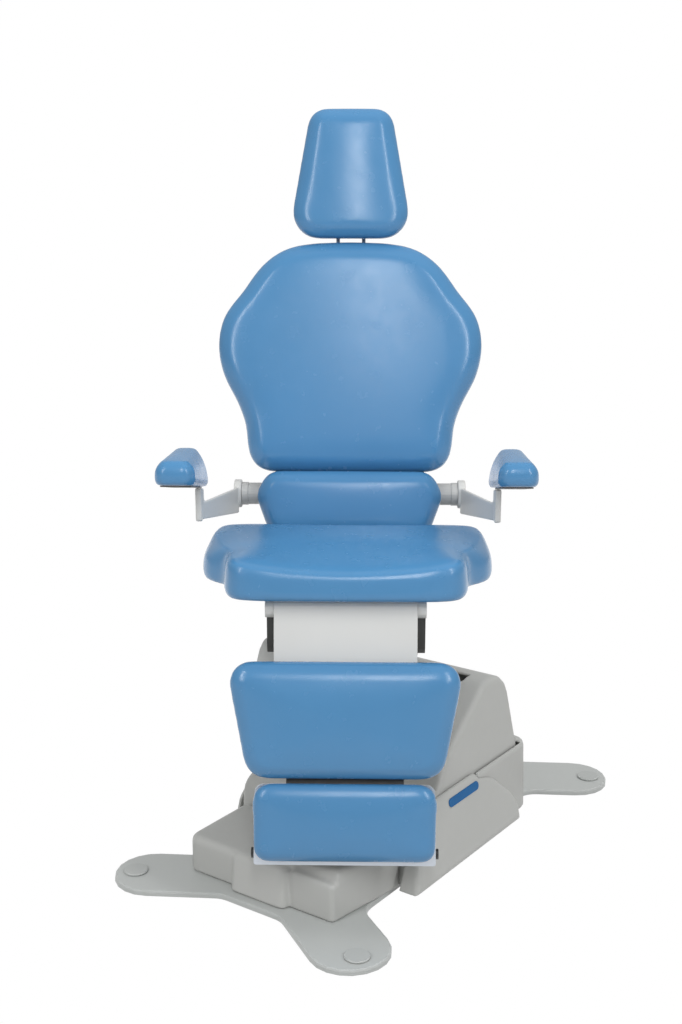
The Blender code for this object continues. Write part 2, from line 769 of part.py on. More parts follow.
def make_column(base, lift):
    low = PLATE_THICK + GAP

    def tube(name, half_x, half_y, bottom, top, parent):
        outer = rectangle((-half_x, -half_y), (half_x, half_y), COLUMN_ROUND)
        hole_x = half_x - COLUMN_WALL
        hole_y = half_y - COLUMN_WALL
        inner = rectangle((-hole_x, -hole_y), (hole_x, hole_y), COLUMN_ROUND - COLUMN_WALL)
        rings = []
        for outline, height in ((outer, bottom), (outer, top), (inner, top), (inner, bottom)):
            rings.append([(*point, height) for point in outline])
        return finish(loft(name, rings, parent, capped=False), STEEL_GREY, 0.4, 0.3)

    tube("column_outer", COLUMN_HALF_X, COLUMN_HALF_Y, low, COLUMN_TOP, base)
    inner_x = COLUMN_HALF_X - COLUMN_WALL - SLIDE_GAP
    inner_y = COLUMN_HALF_Y - COLUMN_WALL - SLIDE_GAP
    tube("column_inner", inner_x, inner_y, INNER_LOW, HEAD_LOW - GAP, lift)

    foot = low + SCREW_FLANGE
    profile = [(SCREW_FOOT, low), (SCREW_FOOT, foot), (SCREW_RADIUS, foot), (SCREW_RADIUS, SCREW_TOP)]
    screw = turned("lift_screw", profile, "Z", (0, 0), base, 16, hollow=False)
    finish(screw, ZINC, 0.3, 1.0)

    hole = SCREW_RADIUS + SLIDE_GAP
    top = HEAD_LOW - GAP
    profile = [
        (DRIVE_RADIUS, top),
        (DRIVE_RADIUS, DRIVE_LOW),
        (NUT_RADIUS, DRIVE_LOW),
        (NUT_RADIUS, NUT_LOW),
        (hole, NUT_LOW),
        (hole, top),
    ]
    drive = turned("lift_drive", profile, "Z", (0, 0), lift, 16)
    finish(drive, DARK, 0.5, 0.4)

    rings = []
    steps = [(HEAD_LOW, HEAD_FOOT), (HEAD_LOW + HEAD_FOOT, 0.0)]
    for quarter in (0, 30, 60, 90):
        angle = math.radians(quarter)
        height = HEAD_TOP - HEAD_RIM * (1 - math.sin(angle))
        steps.append((height, HEAD_RIM * (1 - math.cos(angle))))
    for height, inset in steps:
        share = (height - HEAD_LOW) / (HEAD_TOP - HEAD_LOW)
        middle = HEAD_SHIFT + HEAD_SHEAR * (share - 0.5)
        half_x = HEAD_HALF_X - inset
        half_y = HEAD_HALF_Y - inset
        radius = HEAD_ROUND - inset
        outline = rectangle((-half_x, middle - half_y), (half_x, middle + half_y), radius)
        rings.append([(*point, height) for point in outline])
    finish(loft("column_head", rings, lift), COVER, 0.5)


def ring(name, low, high, parent):
    profile = [(RING_OUTER, high), (RING_OUTER, low), (RING_INNER, low), (RING_INNER, high)]
    return finish(turned(name, profile, "Z", (0, 0), parent), ZINC, 0.35, 1.0)


def seat_point(u, v, height):
    """A point of the seat's tilted plane, v metres behind its front lower edge."""
    along = Vector((0, math.cos(SEAT_TILT), math.sin(SEAT_TILT)))
    up = Vector((0, -math.sin(SEAT_TILT), math.cos(SEAT_TILT)))
    return Vector((u, SEAT_EDGE_Y, SEAT_EDGE_Z)) + along * v + up * height


def seat_level(y):
    """Height of the seat cushion's underside at a place along Y."""
    return SEAT_EDGE_Z + (y - SEAT_EDGE_Y) * math.tan(SEAT_TILT)


def make_carriage(lift, seat):
    low = HEAD_TOP + GAP
    ring("swivel_ring_lower", low, low + RING_HIGH, lift)
    upper = low + RING_HIGH + GAP
    ring("swivel_ring_upper", upper, upper + RING_HIGH, seat)
    floor = upper + RING_HIGH + GAP
    outline = rectangle((-CARRIAGE_HALF, CARRIAGE_FRONT), (CARRIAGE_HALF, CARRIAGE_REAR), 0.012)
    plate = prism("carriage_plate", outline, "Z", floor, floor + CARRIAGE_THICK, seat)
    finish(plate, DARK, 0.5, 0.5)

    near = CARRIAGE_HALF + GAP
    far = near + SIDE_PLATE
    under = PAN_THICK + 2 * GAP
    corners = [
        (SIDE_PLATE_FRONT, floor - SIDE_PLATE_DROP, 0.018),
        (SIDE_PLATE_FRONT, seat_level(SIDE_PLATE_FRONT) - under, 0.004),
        (RECLINE_Y - 2 * RECLINE_BOSS, seat_level(RECLINE_Y - 2 * RECLINE_BOSS) - under, 0.02),
        (RECLINE_Y, RECLINE_Z + RECLINE_BOSS, 0.02),
        (RECLINE_Y + RECLINE_BOSS, RECLINE_Z + RECLINE_BOSS, 0.024),
        (RECLINE_Y + RECLINE_BOSS, RECLINE_Z - RECLINE_BOSS, 0.024),
        (RECLINE_Y - RECLINE_BOSS, floor, 0.03),
    ]
    ear = [
        (SIDE_PLATE_FRONT - GAP, LEG_Z + EAR_RADIUS, 0.002),
        (SIDE_PLATE_FRONT - GAP, LEG_Z - EAR_RADIUS, 0.002),
        (LEG_Y - EAR_RADIUS, LEG_Z - EAR_RADIUS, EAR_RADIUS * 0.98),
        (LEG_Y - EAR_RADIUS, LEG_Z + EAR_RADIUS, EAR_RADIUS * 0.98),
    ]
    for side, sign in (("left", -1), ("right", 1)):
        ends = sorted((sign * near, sign * far))
        plate = prism(f"carriage_side_{side}", rounded(corners), "X", *ends, seat)
        bore(plate, (RECLINE_Y, RECLINE_Z), RECLINE_RADIUS + GAP, ends)
        finish(plate, DARK, 0.5, 0.4)
        lug = prism(f"hinge_ear_{side}", rounded(ear), "X", *ends, seat)
        bore(lug, (LEG_Y, LEG_Z), LEG_RADIUS + GAP, ends)
        finish(lug, LIGHT, 0.4)

    def shaft(name, centre, radius, half):
        rod = turned(name, [(radius, -half), (radius, half)], "X", centre, seat, 20, hollow=False)
        finish(rod, ZINC, 0.3, 1.0)

    shaft("legrest_shaft", (LEG_Y, LEG_Z), LEG_RADIUS, far)
    shaft("recline_shaft", (RECLINE_Y, RECLINE_Z), RECLINE_RADIUS, far + UPRIGHT_THICK + SHAFT_END)

    top = floor + CARRIAGE_THICK + GAP
    wide, long, high = MOTOR_BOX
    for name, x, y in (("recline_motor", -wide, MOTOR_GAP), ("legrest_motor", 0, -MOTOR_GAP - long)):
        outline = rectangle((x, y), (x + wide, y + long), 0.012)
        motor = prism(name, outline, "Z", top, top + high, seat)
        finish(motor, BLACK, 0.5)


# Half outline of the seat's wings: share of the half width, distance ahead of the rear edge
SEAT_WINGS = (
    (0.43, 0.0),
    (0.87, 0.002),
    (0.985, 0.038),
    (1.0, 0.110),
    (1.0, 0.190),
    (0.947, 0.232),
    (0.825, 0.266),
)


def make_seat(seat):
    rings = []
    for height in (-GAP, -GAP - PAN_THICK):
        front = PAN_FRONT - SEAT_EDGE_Y
        rear = PAN_REAR - SEAT_EDGE_Y
        outline = rectangle((-PAN_HALF, front), (PAN_HALF, rear), 0.03)
        rings.append([seat_point(*point, height) for point in outline])
    finish(loft("seat_pan", rings, seat), DARK, 0.5, 0.3)

    half = [(SEAT_WING * wide, SEAT_REAR - ahead) for wide, ahead in SEAT_WINGS]
    half += [
        (SEAT_NECK, SEAT_REAR - 0.305),
        (SEAT_NECK - 0.002, SEAT_FRONT + 0.045),
        (SEAT_NECK - 0.025, SEAT_FRONT + 0.008),
        (SEAT_NECK / 2, SEAT_FRONT),
    ]
    outline = smooth_loop(mirrored(half), 2)
    soft = (SEAT_SOFT, SEAT_SECTIONS)
    cushion("seat_cushion", outline, seat_point, SEAT_THICK, SEAT_CROWN, seat, *soft)


def facing(board):
    """Places a cushion's points on a board that faces -Y in its tilted plane."""
    return lambda u, v, height: Vector((u, board - height, v))


# Half outline of the back: shares of its half width and of its height, from top to bottom
BACK_SHAPE = (
    (0.24, 1.0),
    (0.50, 0.972),
    (0.68, 0.895),
    (0.81, 0.790),
    (0.955, 0.683),
    (1.0, 0.550),
    (0.955, 0.420),
    (0.855, 0.313),
    (0.787, 0.205),
    (0.770, 0.095),
    (0.690, 0.018),
    (0.450, 0.0),
)


def make_back(back):
    board = BACK_FACE + BACK_CROWN + BACK_THICK
    high = BACK_TOP - BACK_LOW
    half = [(BACK_WIDE * wide, BACK_LOW + high * rise) for wide, rise in BACK_SHAPE]
    outline = smooth_loop(mirrored(half), 2)
    cushion("back_cushion", outline, facing(board), BACK_THICK, BACK_CROWN, back)
    shell = inset_outline(outline, SHELL_INSET)[::2]
    shell_front = board + GAP
    shell_back = shell_front + SHELL_THICK
    cover = prism("back_shell", shell, "Y", shell_front, shell_back, back, 0.008, 2)
    finish(cover, COVER, 0.5)

    board = LUMBAR_FACE + LUMBAR_CROWN + LUMBAR_THICK
    half = [
        (LUMBAR_TOP_HALF, LUMBAR_TOP, 0.035),
        (LUMBAR_WIDE, LUMBAR_TOP - LUMBAR_WIDE_DROP, 0.03),
        (LUMBAR_LOW_HALF, LUMBAR_LOW, 0.03),
    ]
    outline = rounded(mirrored(half), 5)
    cushion("lumbar_cushion", outline, facing(board), LUMBAR_THICK, LUMBAR_CROWN, back, LUMBAR_SOFT)
    front = board + GAP
    plate_top = LUMBAR_TOP - LUMBAR_PLATE_INSET
    plate_low = LUMBAR_LOW + LUMBAR_PLATE_INSET
    half = [(LUMBAR_PLATE_HALF, plate_top, 0.01), (LUMBAR_PLATE_HALF, plate_low, 0.01)]
    plate = prism("lumbar_plate", rounded(mirrored(half)), "Y", front, front + LUMBAR_BOARD, back)
    finish(plate, DARK, 0.5, 0.2)

    near = CARRIAGE_HALF + 2 * GAP + SIDE_PLATE
    behind = shell_back + GAP
    knee = TUBE_Z + TUBE_RADIUS + 0.016
    corners = [
        (-RECLINE_BOSS * 0.9, -RECLINE_BOSS * 0.9, 0.022),
        (-RECLINE_BOSS * 0.9, UPRIGHT_BOSS_Z, 0.012),
        (front + LUMBAR_BOARD + GAP, UPRIGHT_STEP_Z, 0.004),
        (front + LUMBAR_BOARD + GAP, knee - 0.012, 0.006),
        (behind, BACK_LOW + 0.012, 0.01),
        (behind, UPRIGHT_TOP, 0.004),
        (behind + UPRIGHT_DEEP, UPRIGHT_TOP, 0.006),
        (behind + UPRIGHT_DEEP, 0.090, 0.04),
        (RECLINE_BOSS * 0.9, -RECLINE_BOSS * 0.9, 0.022),
    ]
    for side, sign in (("left", -1), ("right", 1)):
        ends = sorted((sign * near, sign * (near + UPRIGHT_THICK)))
        upright = prism(f"back_upright_{side}", rounded(corners), "X", *ends, back)
        bore(upright, (0, 0), RECLINE_RADIUS + GAP, ends)
        bore(upright, (TUBE_Y, TUBE_Z), TUBE_RADIUS + GAP, ends)
        finish(upright, DARK, 0.5, 0.4)

    inside = TUBE_RADIUS + COLLAR_RISE
    collar = TUBE_HALF - COLLAR_WIDE
    profile = []
    for sign in (-1, 1):
        end = [(TUBE_RADIUS, collar - 0.004), (inside, collar - 0.003), (inside, TUBE_HALF)]
        end += [(TUBE_BORE, TUBE_HALF)]
        profile += [(radius, sign * x) for radius, x in (end[::-1] if sign < 0 else end)]
    tube = turned("arm_cross_tube", profile, "X", (TUBE_Y, TUBE_Z), back)
    finish(tube, (174, 176, 176), 0.35, 0.3)

    bar_front = behind + GUIDE_WALL
    wide = BAR_HALF + GUIDE_WALL
    outline = rectangle((-wide, behind), (wide, bar_front + BAR_THICK + GUIDE_WALL))
    guide = prism("headrest_guide", outline, "Z", GUIDE_LOW, GUIDE_TOP, back)
    wide = BAR_HALF + GAP
    slot = rectangle((-wide, bar_front - GAP), (wide, bar_front + BAR_THICK + GAP))
    tool = prism("cut_headrest_guide", slot, "Z", GUIDE_LOW - OVERSHOOT, GUIDE_TOP + OVERSHOOT, back)
    cut(guide, tool)
    finish(guide, COVER, 0.5)
    return bar_front


def make_headrest(bar_front, slider, head):
    pivot_y = bar_front + BAR_THICK / 2
    outline = rounded([
        (bar_front, BAR_LOW, 0),
        (bar_front + BAR_THICK, BAR_LOW, 0),
        (bar_front + BAR_THICK, PIVOT_Z - KNUCKLE_RADIUS, 0.004),
        (pivot_y + KNUCKLE_RADIUS, PIVOT_Z - KNUCKLE_RADIUS, 0.006),
        (pivot_y + KNUCKLE_RADIUS, PIVOT_Z + KNUCKLE_RADIUS, 0.009),
        (pivot_y - KNUCKLE_RADIUS, PIVOT_Z + KNUCKLE_RADIUS, 0.009),
        (pivot_y - KNUCKLE_RADIUS, PIVOT_Z - KNUCKLE_RADIUS, 0.006),
        (bar_front, PIVOT_Z - KNUCKLE_RADIUS, 0.004),
    ], 3)
    bar = prism("headrest_bar", outline, "X", -BAR_HALF, BAR_HALF, slider)
    bore(bar, (pivot_y, PIVOT_Z), PIN_RADIUS + GAP, (-BAR_HALF, BAR_HALF))
    wide = BAR_HALF - BAR_LEG
    high = PIVOT_Z - KNUCKLE_RADIUS - BAR_LEG
    window = rectangle((-wide, BAR_LOW + BAR_FOOT), (wide, high), 0.004)
    ends = (bar_front - OVERSHOOT, bar_front + BAR_THICK + OVERSHOOT)
    cut(bar, prism("cut_bar_window", window, "Y", *ends, slider))
    finish(bar, BAR_METAL, 0.3, 0.6)

    board = HEAD_FACE + HEAD_CROWN + HEAD_THICK
    half = [(HEADREST_TOP_HALF, HEADREST_TOP, 0.036), (HEADREST_LOW_HALF, HEADREST_LOW, 0.052)]
    pad_outline = rounded(mirrored(half), 7)
    cushion("headrest_cushion", pad_outline, facing(board), HEAD_THICK, HEAD_CROWN, head, 0.022)
    front = board + GAP
    back_face = front + HEAD_PLATE
    half = [(0.050, HEADREST_TOP - 0.030, 0.02), (0.075, HEADREST_LOW + 0.030, 0.02)]
    plate = prism("headrest_plate", rounded(mirrored(half)), "Y", front, back_face, head)
    finish(plate, DARK, 0.5, 0.3)

    near = BAR_HALF + GAP
    far = near + CHEEK_THICK
    cheek = rounded([
        (back_face + GAP, PIVOT_Z - 0.014, 0.002),
        (pivot_y + KNUCKLE_RADIUS, PIVOT_Z - KNUCKLE_RADIUS, 0.009),
        (pivot_y + KNUCKLE_RADIUS, PIVOT_Z + KNUCKLE_RADIUS, 0.009),
        (back_face + GAP, PIVOT_Z + 0.050, 0.002),
    ])
    for side, sign in (("left", -1), ("right", 1)):
        ends = sorted((sign * near, sign * far))
        lug = prism(f"headrest_cheek_{side}", cheek, "X", *ends, head)
        bore(lug, (pivot_y, PIVOT_Z), PIN_RADIUS + GAP, ends)
        finish(lug, BAR_METAL, 0.35, 0.6)
    profile = [(PIN_RADIUS, -far - 0.002), (PIN_RADIUS, far + 0.002)]
    pin = turned("headrest_pin", profile, "X", (pivot_y, PIVOT_Z), head, 12, hollow=False)
    finish(pin, ZINC, 0.3, 1.0)


def make_arm(side, sign, hub, arm):
    """One arm rest, about its hub: an ear on the tube's end, an oblique sheet, a post and the pad."""
    hub_y, hub_z = hub

    def across(low, high):
        return sorted((sign * low, sign * high))

    ear_low = TUBE_HALF + GAP
    ear_high = ear_low + ARM_EAR_THICK
    half = ARM_EAR_HALF
    outline = rectangle((-half * 0.8, -half), (half * 0.8, half), 0.02)
    bracket = prism(f"arm_bracket_{side}", outline, "X", *across(ear_low, ear_high), arm)

    post_y = ARM_POST_Y - hub_y
    post_low = ARM_POST_LOW - hub_z
    slope = math.tan(PAD_TILT)
    board_low = PAD_LOW_FRONT - hub_z + (ARM_POST_Y - PAD_FRONT) * slope - PAD_BOARD - GAP
    root = Vector((sign * (ear_low + ARM_EAR_THICK / 2), -half * 0.6, 0))
    tip = Vector((sign * (ARM_POST_X + 0.003), post_y, 0))
    along = (tip - root).normalized()
    wide = Vector((along.y, -along.x, 0)) * (ARM_SHEET / 2)
    rings = []
    tip_low = post_low + GAP
    levels = (
        (root, -ARM_ROOT_DROP, ARM_ROOT_HIGH - ARM_ROOT_DROP),
        (tip, tip_low, tip_low + ARM_TIP_HIGH),
    )
    for place, low, high in levels:
        corners = ((-wide, low), (wide, low), (wide, high), (-wide, high))
        rings.append([place + shift + Vector((0, 0, height)) for shift, height in corners])
    join(bracket, loft(f"add_arm_sheet_{side}", rings, arm))
    reach = ARM_POST_WIDE / 2
    outline = rounded([
        (post_y - reach, post_low, 0.006),
        (post_y + reach, post_low, 0.006),
        (post_y + reach, board_low + reach * slope, 0),
        (post_y - reach, board_low - reach * slope, 0),
    ])
    ends = across(ARM_POST_X, ARM_POST_X + ARM_POST_THICK)
    join(bracket, prism(f"add_arm_post_{side}", outline, "X", *ends, arm))
    finish(bracket, ARM_GREY, 0.45)

    length = PAD_REAR - PAD_FRONT
    corner = Vector((sign * PAD_MID_X, PAD_FRONT - hub_y, PAD_LOW_FRONT - hub_z))

    def on_board(u, v, height):
        out = sign * (PAD_REAR_MID_X - PAD_MID_X) * v / length
        return corner + Vector((u + out, v, v * slope + height))

    def on_wedge(u, v, height):
        """The pad grows taller, wider below and narrower above towards its rear."""
        share = v / length
        grown = 1 + (PAD_REAR_THICK / PAD_THICK - 1) * share
        low = PAD_HALF + (PAD_REAR_HALF - PAD_HALF) * share
        top = PAD_TOP_HALF + (PAD_TOP_REAR_HALF - PAD_TOP_HALF) * share
        wide = low + (top - low) * height / (PAD_THICK + PAD_CROWN)
        return on_board(u * wide / PAD_HALF, v, height * grown)

    outline = rectangle((-PAD_HALF, 0), (PAD_HALF, length), PAD_CORNER, 5)
    cushion(f"arm_cushion_{side}", outline, on_wedge, PAD_THICK, PAD_CROWN, arm, PAD_SOFT)
    half = PAD_HALF - PAD_BOARD_INSET
    outline = rectangle((-half, PAD_BOARD_SETBACK), (half, length - PAD_BOARD_INSET), PAD_BOARD_INSET)
    rings = [[on_board(*point, height) for point in outline] for height in (-GAP, -PAD_BOARD)]
    finish(loft(f"arm_board_{side}", rings, arm), DARK, 0.5, 0.3)


def make_legrest(leg):
    profile = [(LEG_RADIUS + GAP, -PANEL_HALF), (LEG_RADIUS + GAP, PANEL_HALF)]
    profile += [(BARREL_RADIUS, PANEL_HALF), (BARREL_RADIUS, -PANEL_HALF)]
    barrel = turned("legrest_barrel", profile, "X", (0, 0), leg, 20)
    finish(barrel, ZINC, 0.35, 0.8)

    inner = BARREL_RADIUS + GAP
    outer = inner + PANEL_THICK
    arc = [math.radians(angle) for angle in range(60, 181, 15)]
    sheet = [(outer * math.cos(t), outer * math.sin(t)) for t in arc]
    sheet += [(-outer, CALF_LOW + 0.02), (-inner, CALF_LOW + 0.02)]
    sheet += [(inner * math.cos(t), inner * math.sin(t)) for t in reversed(arc)]
    panel = prism("legrest_panel", sheet, "X", -PANEL_HALF, PANEL_HALF, leg)
    finish(panel, LIGHT, 0.35)

    board_back = -outer - GAP
    board = board_back - CALF_BOARD
    half = [
        (CALF_TOP_HALF - CALF_BOARD_INSET, CALF_TOP - CALF_BOARD_SETBACK, 0.02),
        (CALF_LOW_HALF - CALF_BOARD_INSET, CALF_LOW + CALF_BOARD_SETBACK, 0.02),
    ]
    plate = prism("calf_board", rounded(mirrored(half)), "Y", board, board_back, leg)
    finish(plate, DARK, 0.5, 0.2)
    half = [(CALF_TOP_HALF, CALF_TOP, 0.036), (CALF_LOW_HALF, CALF_LOW, 0.040)]
    outline = rounded(mirrored(half), 6)
    cushion("calf_cushion", outline, facing(board - GAP), CALF_THICK, CALF_CROWN, leg, 0.024)

    rod_y = board - CALF_BOARD + ROD_RADIUS + FOOT_PLATE + 0.004
    back_of_sheet = -inner + GAP
    carrier = rounded([
        (back_of_sheet, -0.024, 0.002),
        (back_of_sheet + CARRIER_THICK, -0.024, 0.004),
        (back_of_sheet + CARRIER_THICK, CALF_LOW - 0.01, 0.03),
        (rod_y + 0.010, ROD_Z - 0.010, 0.008),
        (rod_y - 0.010, ROD_Z - 0.010, 0.008),
        (rod_y - 0.010, CALF_LOW - 0.02, 0.004),
        (back_of_sheet, CALF_LOW + 0.015, 0.004),
    ])
    frame = prism("legrest_carrier", carrier, "X", -CARRIER_HALF, CARRIER_HALF, leg)
    bore(frame, (rod_y, ROD_Z), ROD_RADIUS + GAP, (-CARRIER_HALF, CARRIER_HALF))
    finish(frame, DARK, 0.5, 0.3)

    cap = ROD_HALF + ROD_CAP
    profile = [
        (ROD_CAP, -cap),
        (ROD_CAP, -ROD_HALF),
        (ROD_RADIUS, -ROD_HALF),
        (ROD_RADIUS, ROD_HALF),
        (ROD_CAP, ROD_HALF),
        (ROD_CAP, cap),
    ]
    rod = turned("footrest_rod", profile, "X", (rod_y, ROD_Z), leg, 16, hollow=False)
    finish(rod, BLACK, 0.4, 0.5)
    return rod_y


def make_footrest(foot):
    """The folding foot rest, about its rod: a plate with two rolled ends, and its pad."""
    plate_back = -ROD_CAP - 0.0025
    plate_front = plate_back - FOOT_PLATE
    top = FOOT_TOP - ROD_Z - 0.006
    low = FOOT_LOW - ROD_Z - FOOT_LIP
    half = [(FOOT_HALF - 0.004, top, 0.015), (FOOT_HALF - 0.002, low, 0.004)]
    plate = prism("footrest_plate", rounded(mirrored(half)), "Y", plate_front, plate_back, foot)
    knuckle = ROD_CAP + 0.001
    for side, sign in (("left", -1), ("right", 1)):
        ends = sorted((sign * (CARRIER_HALF + 0.004), sign * (ROD_HALF - 0.006)))
        outline = rounded([
            (plate_back - 0.002, -knuckle, 0),
            (knuckle, -knuckle, 0.009),
            (knuckle, knuckle, 0.009),
            (plate_back - 0.002, knuckle, 0),
        ])
        roll = prism(f"add_foot_knuckle_{side}", outline, "X", *ends, foot)
        join(plate, roll)
    bore(plate, (0, 0), ROD_RADIUS + GAP, (-ROD_HALF, ROD_HALF))
    finish(plate, STRIP_METAL, 0.35, 0.5)
    half = [(FOOT_HALF, FOOT_TOP - ROD_Z, 0.030), (FOOT_HALF - 0.002, FOOT_LOW - ROD_Z, 0.024)]
    outline = rounded(mirrored(half), 5)
    cushion("footrest_cushion", outline, facing(plate_front - GAP), FOOT_THICK, FOOT_CROWN, foot, 0.020)


def main():
    clear_scene()
    base = empty("base_axis", turn=(0, 0, BASE_TURN))
    lift = empty("lift_axis", base)
    swivel = empty("swivel_axis", lift, turn=(0, 0, -BASE_TURN))
    recline = empty("recline_axis", swivel, (0, RECLINE_Y, RECLINE_Z))
    back = empty("back_plane", recline, turn=(BACK_TILT, 0, 0))
    slider = empty("headrest_slide", back)
    leg = empty("legrest_axis", swivel, (0, LEG_Y, LEG_Z), (LEG_TILT, 0, 0))

    make_floor_plate(base)
    make_front_cover(base)
    make_tower(base)
    make_rear_cover(base)
    make_side_box(base)
    make_column(base, lift)
    make_carriage(lift, swivel)
    make_seat(swivel)
    bar_front = make_back(back)

    pivot = (0, bar_front + BAR_THICK / 2, PIVOT_Z)
    tilt = empty("headrest_axis", slider, pivot)
    head = empty("headrest_plane", tilt, tuple(-value for value in pivot))
    make_headrest(bar_front, slider, head)

    hub = Matrix.Rotation(BACK_TILT, 3, "X") @ Vector((0, TUBE_Y, TUBE_Z))
    for side, sign in (("left", -1), ("right", 1)):
        arm = empty(f"arm_axis_{side}", recline, hub)
        make_arm(side, sign, (hub.y + RECLINE_Y, hub.z + RECLINE_Z), arm)

    rod_y = make_legrest(leg)
    foot = empty("footrest_axis", leg, (0, rod_y, ROD_Z))
    make_footrest(foot)


main()
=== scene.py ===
"""Looks of the examination chair: soft upholstery, finishes, studio light and the photograph's camera."""

import json
import math

import bmesh
import bpy
import numpy as np
from mathutils import Matrix, Vector


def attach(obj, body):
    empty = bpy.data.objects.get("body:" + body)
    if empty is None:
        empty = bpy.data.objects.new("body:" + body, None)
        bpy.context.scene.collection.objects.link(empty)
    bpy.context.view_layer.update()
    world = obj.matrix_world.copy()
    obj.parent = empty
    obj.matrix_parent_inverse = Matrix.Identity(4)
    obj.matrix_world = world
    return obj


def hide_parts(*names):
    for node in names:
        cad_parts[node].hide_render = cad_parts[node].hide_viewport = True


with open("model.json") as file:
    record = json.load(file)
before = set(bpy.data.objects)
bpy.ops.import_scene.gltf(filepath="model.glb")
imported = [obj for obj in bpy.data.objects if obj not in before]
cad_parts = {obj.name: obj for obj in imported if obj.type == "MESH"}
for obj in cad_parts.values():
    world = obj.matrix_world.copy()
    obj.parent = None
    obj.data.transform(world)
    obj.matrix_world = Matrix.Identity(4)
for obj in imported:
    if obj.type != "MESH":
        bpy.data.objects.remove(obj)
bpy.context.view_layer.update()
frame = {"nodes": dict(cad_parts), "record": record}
nodes = frame["nodes"]
scene = bpy.context.scene

# Meshes of the pads: points round an outline, sizes of their faces, rounds of smoothing
AROUND = 208
PAD_VOXEL, ARM_VOXEL = 0.0042, 0.0030
PAD_SMOOTHING, FINAL_SMOOTHING = 8, 4
SECTION_STEPS = 3

# Cloth run: its length, its pressure, how high the board holds the cover, rounds that even the swelling
CLOTH_FRAMES = 20
CLOTH_PRESSURE = 4.0
CLOTH_HELD = 0.004
CLOTH_STIFFNESS, CLOTH_SHEAR, CLOTH_BENDING = 25, 15, 6
EVENING = 60

# Lean of the pads in degrees
SEAT_TILT, BACK_TILT, LEG_TILT = -5.0, -11.0, -10.0


# Materials

# The middle span of a noise, where most of its values lie
NOISE_SPAN = 0.3, 0.7


def linear(colour):
    out = []
    for value in colour:
        value /= 255
        out.append(value / 12.92 if value <= 0.04045 else ((value + 0.055) / 1.055) ** 2.4)
    return tuple(out)


class Finish:
    """A Principled material built from a few procedural layers, in object coordinates."""

    def __init__(self, name, colour, roughness, metallic=0.0):
        self.material = bpy.data.materials.new(name)
        self.material.use_nodes = True
        self.tree = self.material.node_tree
        self.shader = self.tree.nodes["Principled BSDF"]
        self.colour = linear(colour)
        self.shader.inputs["Base Color"].default_value = (*self.colour, 1)
        self.shader.inputs["Roughness"].default_value = roughness
        self.shader.inputs["Metallic"].default_value = metallic
        self.place = self.tree.nodes.new("ShaderNodeTexCoord").outputs["Object"]
        self.normal = None

    def stretched(self, scale):
        mapping = self.tree.nodes.new("ShaderNodeMapping")
        mapping.inputs["Scale"].default_value = scale
        self.tree.links.new(self.place, mapping.inputs["Vector"])
        return mapping.outputs["Vector"]

    def noise(self, scale, detail=2.0, place=None):
        node = self.tree.nodes.new("ShaderNodeTexNoise")
        node.inputs["Scale"].default_value = scale
        node.inputs["Detail"].default_value = detail
        self.tree.links.new(place or self.place, node.inputs["Vector"])
        return node.outputs["Fac"]

    def vary(self, factor, amount):
        """Colour between a darker and a lighter shade of itself."""
        ramp = self.tree.nodes.new("ShaderNodeValToRGB")
        low, high = ramp.color_ramp.elements
        low.position, high.position = NOISE_SPAN
        low.color = (*(c * (1 - amount) for c in self.colour), 1)
        high.color = (*(min(1, c * (1 + amount)) for c in self.colour), 1)
        self.tree.links.new(factor, ramp.inputs["Fac"])
        self.tree.links.new(ramp.outputs["Color"], self.shader.inputs["Base Color"])
        return self

    def rough(self, factor, low, high):
        spread = self.tree.nodes.new("ShaderNodeMapRange")
        ends = zip(("From Min", "From Max", "To Min", "To Max"), (*NOISE_SPAN, low, high))
        for end, value in ends:
            spread.inputs[end].default_value = value
        self.tree.links.new(factor, spread.inputs["Value"])
        self.tree.links.new(spread.outputs["Result"], self.shader.inputs["Roughness"])
        return self

    def bump(self, factor, strength, distance):
        node = self.tree.nodes.new("ShaderNodeBump")
        node.inputs["Strength"].default_value = strength
        node.inputs["Distance"].default_value = distance
        self.tree.links.new(factor, node.inputs["Height"])
        if self.normal:
            self.tree.links.new(self.normal, node.inputs["Normal"])
        self.normal = node.outputs["Normal"]
        self.tree.links.new(self.normal, self.shader.inputs["Normal"])
        return self


def vinyl(name, colour):
    made = Finish(name, colour, 0.25)
    made.vary(made.noise(5.0, 3.0), 0.025)
    made.rough(made.noise(38.0, 3.0), 0.23, 0.28)
    made.bump(made.noise(22.0, 2.0), 0.02, 0.0016)
    return made.material


def moulded(name, colour, low=0.44, high=0.54):
    made = Finish(name, colour, 0.5)
    made.vary(made.noise(4.0, 3.0), 0.02)
    made.rough(made.noise(60.0, 2.0), low, high)
    made.bump(made.noise(1150.0, 2.0), 0.20, 0.00018)
    return made.material


def painted(name, colour, low=0.36, high=0.46, metallic=0.0):
    made = Finish(name, colour, 0.4, metallic)
    made.vary(made.noise(7.0, 2.0), 0.018)
    made.rough(made.noise(90.0, 2.0), low, high)
    made.bump(made.noise(430.0, 1.0), 0.16, 0.00020)
    return made.material


def brushed(name, colour, scale, low=0.24, high=0.40, metallic=1.0):
    made = Finish(name, colour, 0.3, metallic)
    lines = made.stretched(scale)
    streaks = made.noise(1.0, 3.0, lines)
    made.vary(streaks, 0.06)
    made.rough(streaks, low, high)
    made.bump(streaks, 0.12, 0.00006)
    return made.material


def printed(name, colour):
    made = Finish(name, colour, 0.45)
    made.vary(made.noise(30.0, 2.0), 0.04)
    made.rough(made.noise(160.0, 2.0), 0.40, 0.50)
    made.bump(made.noise(500.0, 1.0), 0.05, 0.00008)
    made.shader.inputs["Specular IOR Level"].default_value = 0.25
    return made.material


